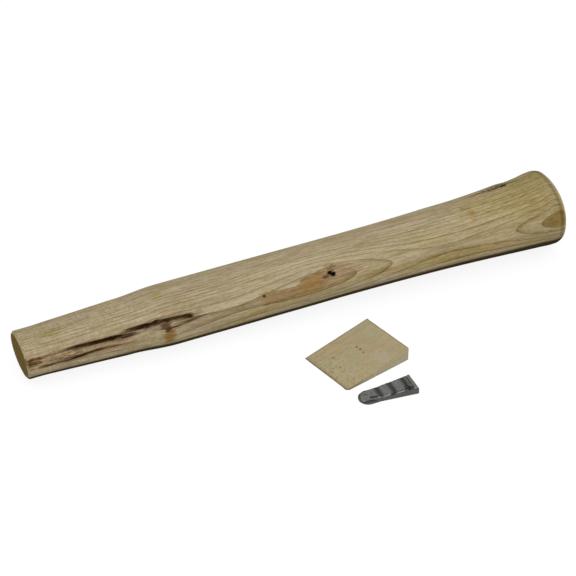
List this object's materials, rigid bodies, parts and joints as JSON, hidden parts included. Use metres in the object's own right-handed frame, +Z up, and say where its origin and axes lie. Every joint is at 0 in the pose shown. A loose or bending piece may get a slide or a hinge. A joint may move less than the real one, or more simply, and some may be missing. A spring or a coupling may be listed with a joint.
{
  "type": "maul handle with wedges",
  "caption": "Short turned hardwood maul handle with an oval tapered tenon and a flared butt, with a flat wooden wedge and a cast steel step wedge lying beside it.",
  "frame": {"origin": "on the surface that the set lies on, under the middle of the box that holds all three pieces", "axes": "+X along the handle from the eye end to the butt, +Y across it away from the wedges, +Z up"},
  "size_m": [0.3568, 0.1402, 0.0464],
  "materials": {
    "handle_wood": "pale straight-grained hardwood, turned and lightly sanded, bare, with a dark mineral streak, a small knot and a bark pocket",
    "wedge_wood": "pale close-grained hardwood, sawn and sanded, bare, with fine dark flecks",
    "wedge_steel": "bare grey casting, tumbled, dull, with brighter worn edges"
  },
  "bodies": {
    "handle": {"handle": "handle_wood"},
    "wooden_wedge": {"wooden_wedge": "wedge_wood"},
    "steel_wedge": {"steel_wedge": "wedge_steel"}
  },
  "joints": [
    {"name": "wooden_wedge_lift", "type": "slide", "parent": "handle", "child": "wooden_wedge", "axis": [0, 0, 1], "range_m": [0, 0.1]},
    {"name": "steel_wedge_lift", "type": "slide", "parent": "handle", "child": "steel_wedge", "axis": [0, 0, 1], "range_m": [0, 0.1]}
  ]
}
